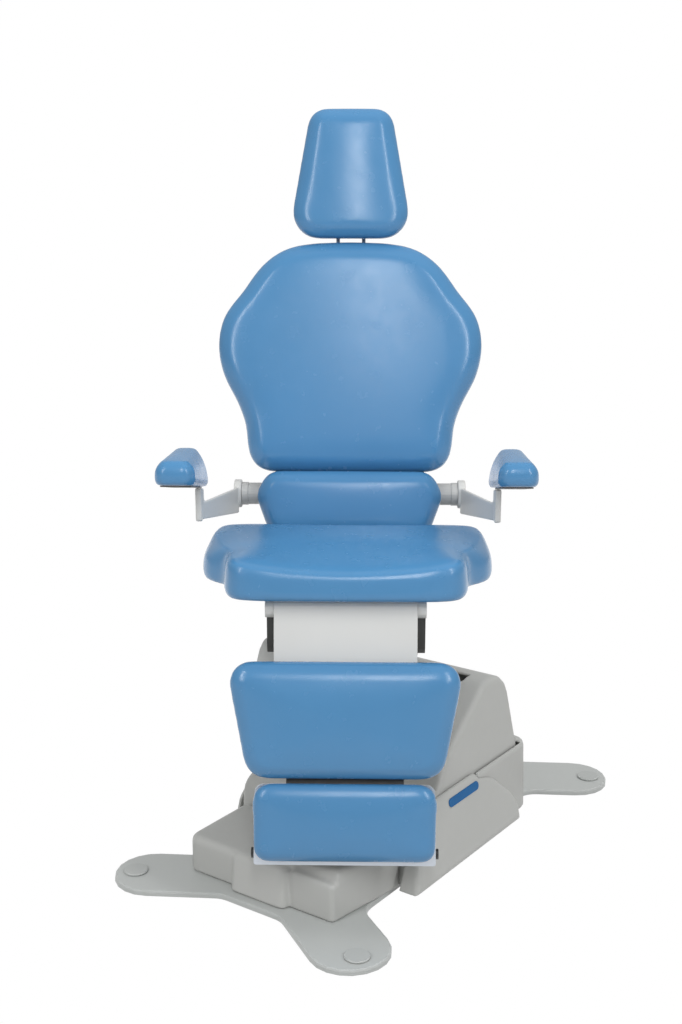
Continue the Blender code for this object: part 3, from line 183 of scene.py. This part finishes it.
UPHOLSTERY = vinyl("blue_vinyl", (74, 132, 178))
COVER = moulded("cover_plastic", (183, 184, 181))
PLATE = painted("plate_paint", (184, 187, 185))
CAP = moulded("cap_plastic", (178, 181, 179))
LIGHT = painted("light_paint", (216, 216, 213))
ARM = painted("arm_paint", (209, 209, 206))
HUB = painted("hub_paint", (188, 188, 186), 0.34, 0.44)
DARK = painted("dark_paint", (74, 74, 72), 0.40, 0.50)
ZINC = brushed("zinc_steel", (160, 163, 166), (40, 900, 900))
BAR = brushed("bar_anodised", (176, 180, 191), (900, 900, 30), 0.26, 0.38, 0.85)
STRIP = brushed("strip_anodised", (200, 206, 214), (30, 900, 900), 0.28, 0.40, 0.6)
BLACK = moulded("black_plastic", (38, 39, 40), 0.40, 0.52)
LABEL = printed("label_blue", (0, 92, 150))
CASE = painted("supply_case", (205, 205, 203), 0.3, 0.4, 0.4)

BY_SLOT = {
    "upholstery": UPHOLSTERY,
    "cover": COVER,
    "floor_steel": PLATE,
    "cap_plastic": CAP,
    "light_panel": LIGHT,
    "arm_metal": ARM,
    "hub_metal": HUB,
    "dark_steel": DARK,
    "zinc_steel": ZINC,
    "bar_metal": BAR,
    "strip_metal": STRIP,
    "black_plastic": BLACK,
    "label_blue": LABEL,
    "supply_case": CASE,
}
for row in frame["record"]["subparts"]:
    solid = nodes[row["node"]]
    solid.data.materials.clear()
    solid.data.materials.append(BY_SLOT[row["material_slot"]])


# Soft goods

# Finding a pad's outline in its solid: height of one level, fewest points of an outline, rounds of softening
LEVEL_STEP = 0.0004
FEWEST_POINTS = 12
OUTLINE_ROUNDS = 3


def facing(tilt):
    """Axes of a pad that faces the front: across, up the pad, out of its face."""
    turn = Matrix.Rotation(math.radians(tilt), 3, "X")
    return [np.array(turn @ Vector(axis)) for axis in ((1, 0, 0), (0, 0, 1), (0, -1, 0))]


def lying(tilt):
    """Axes of a pad that lies flat: across, along to the back, up."""
    turn = Matrix.Rotation(math.radians(tilt), 3, "X")
    return [np.array(turn @ Vector(axis)) for axis in ((1, 0, 0), (0, 1, 0), (0, 0, 1))]


def resampled(loop, count):
    """A closed loop with points at equal steps along it."""
    closed = np.vstack([loop, loop[:1]])
    steps = np.linalg.norm(np.diff(closed, axis=0), axis=1)
    along = np.concatenate([[0], np.cumsum(steps)])
    wanted = np.linspace(0, along[-1], count, endpoint=False)
    return np.stack([np.interp(wanted, along, closed[:, k]) for k in range(2)], axis=1)


def softened(loop, rounds):
    """Each point of a closed loop drawn towards its neighbours."""
    for _ in range(rounds):
        loop = (np.roll(loop, 1, axis=0) + 2 * loop + np.roll(loop, -1, axis=0)) / 4
    return loop


def plan_of(node, axes):
    """The widest level of a solid pad as a loop in its plane, and the heights of its board and crest."""
    points = np.array([vert.co for vert in nodes[node].data.vertices])
    local = np.stack([points @ axis for axis in axes], axis=1)
    heights = local[:, 2]
    floor, crest = heights.min(), heights.max()
    level = np.round((heights - floor) / LEVEL_STEP).astype(int)
    best, widest = None, 0
    for value in np.unique(level):
        ring = np.unique(np.round(local[level == value, :2], 6), axis=0)
        if len(ring) < FEWEST_POINTS:
            continue
        area = np.prod(ring.max(0) - ring.min(0))
        if area > widest:
            best, widest = ring, area
    middle = (best.max(0) + best.min(0)) / 2
    angle = np.arctan2(*(best - middle).T[::-1])
    loop = best[np.argsort(angle)]
    return softened(resampled(loop, AROUND), OUTLINE_ROUNDS), floor, crest


def inward(loop):
    """The direction into a loop at each of its points."""
    along = np.roll(loop, -1, axis=0) - np.roll(loop, 1, axis=0)
    along /= np.linalg.norm(along, axis=1)[:, None]
    return np.stack([-along[:, 1], along[:, 0]], axis=1)


def curve_through(points, steps):
    """A smooth run through section points, as (inset, height) pairs."""
    points = np.array(points, float)
    ends = np.vstack([2 * points[0] - points[1], points, 2 * points[-1] - points[-2]])
    out = []
    for i in range(1, len(ends) - 2):
        a, b, c, d = ends[i - 1:i + 3]
        for t in np.linspace(0, 1, steps, endpoint=False):
            out.append(0.5 * (2 * b + (c - a) * t + (2 * a - 5 * b + 4 * c - d) * t * t
                              + (3 * b - a - 3 * c + d) * t ** 3))
    out.append(points[-1])
    return np.array(out)


# Sections of a pad from its board to the crease round its face: share of the band, share of the height
SECTION = ((0.36, 0.0), (0.14, 0.10), (0.02, 0.26), (0.0, 0.42), (0.04, 0.57), (0.16, 0.69),
           (0.42, 0.82), (0.74, 0.93), (1.0, 0.985), (1.32, 1.0))
STEEP_SECTION = ((0.30, 0.0), (0.10, 0.09), (0.0, 0.22), (0.0, 0.44), (0.0, 0.66), (0.07, 0.82),
                 (0.26, 0.93), (0.58, 0.98), (0.94, 0.998), (1.2, 1.0))
WING_SECTION = ((0.14, 0.0), (0.04, 0.10), (0.0, 0.24), (0.0, 0.37), (0.03, 0.50), (0.10, 0.62),
                (0.36, 0.78), (0.70, 0.92), (0.97, 0.993), (1.12, 1.0))
# Rings of the face inside its crease, and how fast a crown falls off towards it
FACE_SHARES = (0.93, 0.84, 0.72, 0.58, 0.43, 0.28, 0.13)
CROWN_POWER = 2.2


def loft_pad(name, loop, crease, height, crown, bowed, steep=0.0, winged=0.0, dip=None):
    """A closed pad from its outline to its crease and its face, in plan coordinates.

    A bowed pad is crowned from side to side only, and the others all round. Steep and winged say how
    much of those sections each point of the outline takes, and dip lowers the face.
    """
    middle = (crease.max(0) + crease.min(0)) / 2
    half = np.abs(loop[:, 0] - middle[0]).max()
    plain, upright, sloped = (curve_through(section, SECTION_STEPS)[:, None] for section in (
        SECTION, STEEP_SECTION, WING_SECTION))
    steep, winged = (np.broadcast_to(part, len(loop))[None, :, None] for part in (steep, winged))
    levels = plain * (1 - steep - winged) + upright * steep + sloped * winged
    build = bmesh.new()
    rings = []

    def add(ring, rise, share):
        if bowed:
            top = height + crown * (1 - ((ring[:, 0] - middle[0]) / half) ** 2)
        else:
            top = np.full(len(ring), height + crown * (1 - share ** CROWN_POWER))
        if dip:
            top = top - dip(ring)
        rings.append([build.verts.new((*p, z)) for p, z in zip(ring, top * rise)])

    for level in levels:
        add(loop + (crease - loop) * level[:, :1], level[:, 1], 1)
    last = loop + (crease - loop) * levels[-1][:, :1]
    for share in FACE_SHARES:
        add(middle + (last - middle) * share, 1, share)
    for low, high in zip(rings, rings[1:]):
        count = len(low)
        for i in range(count):
            j = (i + 1) % count
            build.faces.new((low[i], low[j], high[j], high[i]))
    build.faces.new(rings[0][::-1])
    build.faces.new(rings[-1])
    bmesh.ops.recalc_face_normals(build, faces=build.faces)
    mesh = bpy.data.meshes.new(name)
    build.to_mesh(mesh)
    build.free()
    pad = bpy.data.objects.new(name, mesh)
    scene.collection.objects.link(pad)
    return pad


def applied(pad):
    """The pad's mesh with its modifiers in it."""
    graph = bpy.context.evaluated_depsgraph_get()
    mesh = bpy.data.meshes.new_from_object(pad.evaluated_get(graph))
    pad.modifiers.clear()
    old = pad.data
    pad.data = mesh
    bpy.data.meshes.remove(old)
    mesh.name = pad.name


def coordinates(mesh):
    flat = np.empty(len(mesh.vertices) * 3, np.float32)
    mesh.vertices.foreach_get("co", flat)
    return flat.reshape(-1, 3).astype(float)


def remeshed(piece, voxel, rounds, share=1.0):
    """The piece as an even mesh with its corners rounded off, thinned to a share of its faces."""
    modifier = piece.modifiers.new("voxels", "REMESH")
    modifier.mode = "VOXEL"
    modifier.voxel_size = voxel
    modifier = piece.modifiers.new("even", "SMOOTH")
    modifier.factor = 0.5
    modifier.iterations = rounds
    if share < 1:
        modifier = piece.modifiers.new("thin", "DECIMATE")
        modifier.ratio = share
    applied(piece)


def evened(values, ends, rounds):
    """Values at a mesh's points, spread along its edges."""
    count = len(values)
    joined = np.bincount(ends.ravel(), minlength=count)
    for _ in range(rounds):
        near = np.bincount(ends[:, 0], values[ends[:, 1]], count)
        near += np.bincount(ends[:, 1], values[ends[:, 0]], count)
        values = (values + near / joined) / 2
    return values


def stuff(pads):
    """Swells the covers of the pads a little, with their boards held, all in one run.

    The covers are taut, so only the swelling itself is kept, without the puckers.
    """
    starts = {}
    for pad in pads:
        start = coordinates(pad.data)
        normals = np.empty(start.size, np.float32)
        pad.data.vertex_normals.foreach_get("vector", normals)
        ends = np.empty(len(pad.data.edges) * 2, np.int32)
        pad.data.edges.foreach_get("vertices", ends)
        starts[pad.name] = start, normals.reshape(-1, 3).astype(float), ends.reshape(-1, 2)
        held = pad.vertex_groups.new(name="board")
        held.add([int(i) for i in np.nonzero(start[:, 2] < CLOTH_HELD)[0]], 1.0, "REPLACE")
        cloth = pad.modifiers.new("cloth", "CLOTH")
        cloth.settings.quality = 4
        cloth.settings.mass = 0.3
        cloth.settings.tension_stiffness = CLOTH_STIFFNESS
        cloth.settings.compression_stiffness = CLOTH_STIFFNESS
        cloth.settings.shear_stiffness = CLOTH_SHEAR
        cloth.settings.bending_stiffness = CLOTH_BENDING
        cloth.settings.use_pressure = True
        cloth.settings.uniform_pressure_force = CLOTH_PRESSURE
        cloth.settings.vertex_group_mass = held.name
        cloth.settings.effector_weights.gravity = 0
        cloth.point_cache.frame_start = 1
        cloth.point_cache.frame_end = CLOTH_FRAMES
    for step in range(1, CLOTH_FRAMES + 1):
        scene.frame_set(step)
    for pad in pads:
        applied(pad)
        start, normals, ends = starts[pad.name]
        swell = ((coordinates(pad.data) - start) * normals).sum(axis=1)
        cap = pad["cap"]
        swell = evened(cap * np.tanh(swell / cap), ends, EVENING)
        swollen = start + normals * swell[:, None]
        pad.data.vertices.foreach_set("co", swollen.astype(np.float32).ravel())
        pad.vertex_groups.clear()
    scene.frame_set(1)


def upholstered(pad):
    """Smooths the pad a last time and covers it in vinyl."""
    modifier = pad.modifiers.new("even", "SMOOTH")
    modifier.factor = 0.5
    modifier.iterations = FINAL_SMOOTHING
    modifier = pad.modifiers.new("fine", "SUBSURF")
    modifier.levels = 1
    modifier.render_levels = 1
    pad.data.shade_smooth()
    pad.data.materials.clear()
    pad.data.materials.append(UPHOLSTERY)


# How far a cover lies inside its solid. The back and lumbar covers bulge to meet at their seam.
INSET, BULGE = 0.0006, -0.0016
PADS = []


def placed_by(axes, floor):
    """A function from a pad's own axes to the chair's."""
    across, along, out = (Vector(axis) for axis in axes)
    return lambda point: across * point.x + along * point.y + out * (point.z + floor)


def pad(node, body, axes, band, crown, cap, rounding, bowed=False, inset=INSET):
    """A pad over its solid: a band between outline and crease, a crowned face, and a cap on its swelling."""
    loop, floor, crest = plan_of(node, axes)
    inner = inward(loop)
    loop = loop + inner * inset
    crease = softened(loop + inner * band, rounding)
    made = loft_pad("soft_" + node, loop, crease, crest - floor - crown - INSET, crown, bowed)
    remeshed(made, PAD_VOXEL, PAD_SMOOTHING)
    made["cap"] = cap
    PADS.append((made, node, body, placed_by(axes, floor)))


# Seat: its top face narrows from the wings to the neck in front, and dips in the middle of its front edge
SEAT_BAND, SEAT_NECK_BAND, SEAT_CROWN = 0.024, 0.014, 0.003
SEAT_FACE_HALF, SEAT_FACE_TAPER, SEAT_FACE_FROM = 0.240, 0.275, -0.060
SEAT_WING_FRONT, SEAT_WING_REAR = -0.160, 0.060
SEAT_DIP, SEAT_DIP_HALF, SEAT_DIP_FROM = 0.015, 0.185, -0.080
SEAT_NECK_HALF, SEAT_WING_HALF = 0.205, 0.235
SEAT_WING_BEFORE, SEAT_WING_AFTER, SEAT_WING_END = 0.02, 0.03, 0.005
SEAT_ROUNDING, SEAT_BLENDING, SEAT_CAP = 8, 10, 0.003


def ramp(values, start, end):
    """A smooth rise from 0 at the start to 1 at the end."""
    share = np.clip((values - start) / (end - start), 0, 1)
    return share * share * (3 - 2 * share)


def seat_pad():
    axes = lying(SEAT_TILT)
    loop, floor, crest = plan_of("seat_cushion", axes)
    loop = loop + inward(loop) * INSET
    front, rear = loop[:, 1].min(), loop[:, 1].max()
    side = np.sign(loop[:, 0])
    along = np.clip(loop[:, 1], front + SEAT_BAND, rear - SEAT_BAND)
    face = SEAT_FACE_HALF + SEAT_FACE_TAPER * (along - SEAT_FACE_FROM)
    wide = np.minimum(np.abs(loop[:, 0]) - SEAT_NECK_BAND, face)
    crease = softened(np.stack([side * np.minimum(wide, np.abs(loop[:, 0])), along], axis=1),
                      SEAT_ROUNDING)
    out = ramp(np.abs(loop[:, 0]), SEAT_NECK_HALF, SEAT_WING_HALF)
    winged = out * ramp(loop[:, 1], SEAT_WING_FRONT - SEAT_WING_BEFORE, SEAT_WING_FRONT + SEAT_WING_AFTER)
    winged *= 1 - ramp(loop[:, 1], SEAT_WING_REAR, rear - SEAT_WING_END)
    winged = softened(winged, SEAT_BLENDING)
    steep = 1 - winged

    def dip(ring):
        across = np.clip(1 - (ring[:, 0] / SEAT_DIP_HALF) ** 2, 0, 1)
        return SEAT_DIP * across * ramp(-ring[:, 1], -SEAT_DIP_FROM, -front)

    height = crest - floor - SEAT_CROWN - INSET
    made = loft_pad("soft_seat_cushion", loop, crease, height, SEAT_CROWN, False, steep, winged, dip)
    remeshed(made, PAD_VOXEL, PAD_SMOOTHING)
    made["cap"] = SEAT_CAP
    PADS.append((made, "seat_cushion", "seat", placed_by(axes, floor)))


# Arm pads: wedges whose undersides fall faster than their tops, in the chair's axes
ARM_FRONT, ARM_LONG, ARM_LOW = -0.185, 0.245, 0.755
ARM_FALL = math.tan(math.radians(-13.7))
ARM_MID, ARM_REAR_MID = 0.289, 0.2967
ARM_HALF, ARM_REAR_HALF = 0.0345, 0.044
ARM_TOP_HALF, ARM_TOP_REAR_HALF = 0.0337, 0.0272
ARM_THICK, ARM_REAR_THICK = 0.0405, 0.075
ARM_CROWN, ARM_CORNER, ARM_BAND = 0.003, 0.022, 0.013
ARM_CORNER_STEPS, ARM_ROUNDING, ARM_CAP = 10, 8, 0.002


def arm_pad(side, sign):
    node = "arm_cushion_" + side
    wide, long = ARM_HALF - ARM_CORNER, ARM_LONG - ARM_CORNER
    centres = ((wide, ARM_CORNER, -90), (wide, long, 0), (-wide, long, 90), (-wide, ARM_CORNER, 180))
    loop = []
    for x, y, first in centres:
        for step in range(ARM_CORNER_STEPS + 1):
            turn = math.radians(first + 90 * step / ARM_CORNER_STEPS)
            loop.append((x + ARM_CORNER * math.cos(turn), y + ARM_CORNER * math.sin(turn)))
    loop = resampled(np.array(loop), AROUND)
    crease = softened(loop + inward(loop) * ARM_BAND, ARM_ROUNDING)
    made = loft_pad("soft_" + node, loop, crease, ARM_THICK, ARM_CROWN, False)
    remeshed(made, ARM_VOXEL, PAD_SMOOTHING)
    made["cap"] = ARM_CAP

    def place(point):
        share = point.y / ARM_LONG
        grown = 1 + (ARM_REAR_THICK / ARM_THICK - 1) * share
        low = ARM_HALF + (ARM_REAR_HALF - ARM_HALF) * share
        top = ARM_TOP_HALF + (ARM_TOP_REAR_HALF - ARM_TOP_HALF) * share
        half = low + (top - low) * point.z / (ARM_THICK + ARM_CROWN)
        middle = sign * (ARM_MID + (ARM_REAR_MID - ARM_MID) * share)
        rise = ARM_LOW + point.y * ARM_FALL + point.z * grown
        return Vector((middle + point.x * half / ARM_HALF, ARM_FRONT + point.y, rise))

    PADS.append((made, node, "arm_" + side, place))


seat_pad()
pad("back_cushion", "back", facing(BACK_TILT), band=0.026, crown=0.005, cap=0.003, rounding=16,
    bowed=True, inset=BULGE)
pad("lumbar_cushion", "back", facing(BACK_TILT), band=0.020, crown=0.003, cap=0.002, rounding=8,
    bowed=True, inset=BULGE)
pad("headrest_cushion", "headrest", facing(BACK_TILT), band=0.024, crown=0.010, cap=0.002, rounding=10,
    bowed=True)
pad("calf_cushion", "legrest", facing(LEG_TILT), band=0.023, crown=0.004, cap=0.002, rounding=30)
pad("footrest_cushion", "footrest", facing(LEG_TILT), band=0.019, crown=0.002, cap=0.002, rounding=12)
arm_pad("left", -1)
arm_pad("right", 1)
stuff([made for made, *_ in PADS])
for made, node, body, place in PADS:
    for vert in made.data.vertices:
        vert.co = place(vert.co.copy())
    upholstered(made)
    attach(made, body)
    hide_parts(node)


# Moulded covers and folded sheet, with their edges drawn soft
COVER_VOXEL, SHEET_VOXEL = 0.0024, 0.0014


def soft_copy(node, body, slot, voxel, rounds, share):
    """A copy of a solid with rounded edges, thinned to a share of its faces."""
    copy = bpy.data.objects.new("soft_" + node, nodes[node].data.copy())
    scene.collection.objects.link(copy)
    remeshed(copy, voxel, rounds, share)
    copy.data.shade_smooth()
    copy.data.materials.clear()
    copy.data.materials.append(BY_SLOT[slot])
    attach(copy, body)
    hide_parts(node)


soft_copy("front_cover", "base", "cover", COVER_VOXEL, rounds=14, share=0.3)
soft_copy("tower_cover", "base", "cover", COVER_VOXEL, rounds=8, share=0.25)
soft_copy("side_box", "base", "cover", COVER_VOXEL, rounds=9, share=0.3)
soft_copy("rear_cover", "base", "cover", COVER_VOXEL, rounds=7, share=0.3)
soft_copy("column_head", "column", "cover", COVER_VOXEL, rounds=8, share=0.3)
for side in ("left", "right"):
    soft_copy("arm_bracket_" + side, "arm_" + side, "arm_metal", SHEET_VOXEL, rounds=22, share=0.5)


# Studio

# Brightness of the sky as light and in mirror rays, and of the floor in mirror rays
SKY_LIGHT, SKY_MIRRORED = 0.48, 0.55
FLOOR_MIRRORED = 1.25
FLOOR_HALF, FLOOR_DROP = 6.0, 0.0006

# The photograph's camera, solved from its perspective
CAMERA_PLACE = 0.038, -2.500, 1.30
CAMERA_VIEW = -0.01945, 0.9689, -0.2467
CAMERA_LENS, CAMERA_SENSOR = 50, 36


def ray_switch(tree, plain, glow, out):
    """White to the camera and brighter to mirror rays, so that the ground has no end, and plain to light."""
    path = tree.nodes.new("ShaderNodeLightPath")
    either = tree.nodes.new("ShaderNodeMath")
    either.operation = "MAXIMUM"
    level = tree.nodes.new("ShaderNodeMath")
    level.operation = "MULTIPLY_ADD"
    level.inputs[1].default_value = FLOOR_MIRRORED - 1
    level.inputs[2].default_value = 1
    mix = tree.nodes.new("ShaderNodeMixShader")
    tree.links.new(path.outputs["Is Camera Ray"], either.inputs[0])
    tree.links.new(path.outputs["Is Glossy Ray"], either.inputs[1])
    tree.links.new(path.outputs["Is Glossy Ray"], level.inputs[0])
    tree.links.new(level.outputs["Value"], glow.inputs["Strength"])
    tree.links.new(either.outputs["Value"], mix.inputs["Fac"])
    tree.links.new(plain, mix.inputs[1])
    tree.links.new(glow.outputs["Emission"], mix.inputs[2])
    tree.links.new(mix.outputs["Shader"], out)


def make_floor():
    build = bmesh.new()
    bmesh.ops.create_grid(build, x_segments=8, y_segments=8, size=FLOOR_HALF)
    mesh = bpy.data.meshes.new("studio_floor")
    build.to_mesh(mesh)
    build.free()
    floor = bpy.data.objects.new("studio_floor", mesh)
    floor.location.z = -FLOOR_DROP
    scene.collection.objects.link(floor)
    ground = Finish("studio_ground", (165, 165, 165), 0.7)
    ground.vary(ground.noise(2.0, 2.0), 0.01)
    glow = ground.tree.nodes.new("ShaderNodeEmission")
    glow.inputs["Color"].default_value = (1, 1, 1, 1)
    out = ground.tree.nodes["Material Output"].inputs["Surface"]
    ray_switch(ground.tree, ground.shader.outputs["BSDF"], glow, out)
    mesh.materials.append(ground.material)


def make_world():
    """White to the camera, a dimmer white to mirror rays and dimmer still as light."""
    world = bpy.data.worlds.new("studio")
    world.use_nodes = True
    tree = world.node_tree
    sky = tree.nodes["Background"]
    path = tree.nodes.new("ShaderNodeLightPath")
    level = SKY_LIGHT
    for ray, strength in (("Is Glossy Ray", SKY_MIRRORED), ("Is Camera Ray", 1.0)):
        mix = tree.nodes.new("ShaderNodeMix")
        mix.inputs["B"].default_value = strength
        tree.links.new(path.outputs[ray], mix.inputs["Factor"])
        if level is SKY_LIGHT:
            mix.inputs["A"].default_value = level
        else:
            tree.links.new(level, mix.inputs["A"])
        level = mix.outputs["Result"]
    sky.inputs["Color"].default_value = (1, 1, 1, 1)
    tree.links.new(level, sky.inputs["Strength"])
    scene.world = world


def make_light(name, place, aim, size, power, mirrored=True):
    light = bpy.data.lights.new(name, "AREA")
    light.shape = "RECTANGLE"
    light.size, light.size_y = size
    light.energy = power
    lamp = bpy.data.objects.new(name, light)
    lamp.location = place
    lamp.visible_glossy = mirrored
    lamp.rotation_euler = (Vector(aim) - Vector(place)).to_track_quat("-Z", "Y").to_euler()
    scene.collection.objects.link(lamp)


def make_camera():
    camera = bpy.data.cameras.new("camera")
    camera.lens = CAMERA_LENS
    camera.sensor_width = CAMERA_SENSOR
    holder = bpy.data.objects.new("camera", camera)
    holder.location = CAMERA_PLACE
    holder.rotation_euler = Vector(CAMERA_VIEW).to_track_quat("-Z", "Y").to_euler()
    scene.collection.objects.link(holder)
    scene.camera = holder


scene.view_settings.view_transform = "Standard"
make_floor()
make_world()
make_light("front", place=(0.15, -2.6, 2.4), aim=(0, 0.3, 1.35), size=(0.28, 1.5), power=22)
make_light("left", place=(-1.8, -1.8, 1.95), aim=(0, 0.1, 1.15), size=(0.3, 1.9), power=23)
make_light("right", place=(1.8, -1.8, 1.95), aim=(0, 0.1, 1.15), size=(0.3, 1.9), power=25)
make_light("top", place=(0.5, 0.5, 3.5), aim=(0, 0.1, 0.5), size=(3.0, 2.6), power=40,
           mirrored=False)
make_camera()
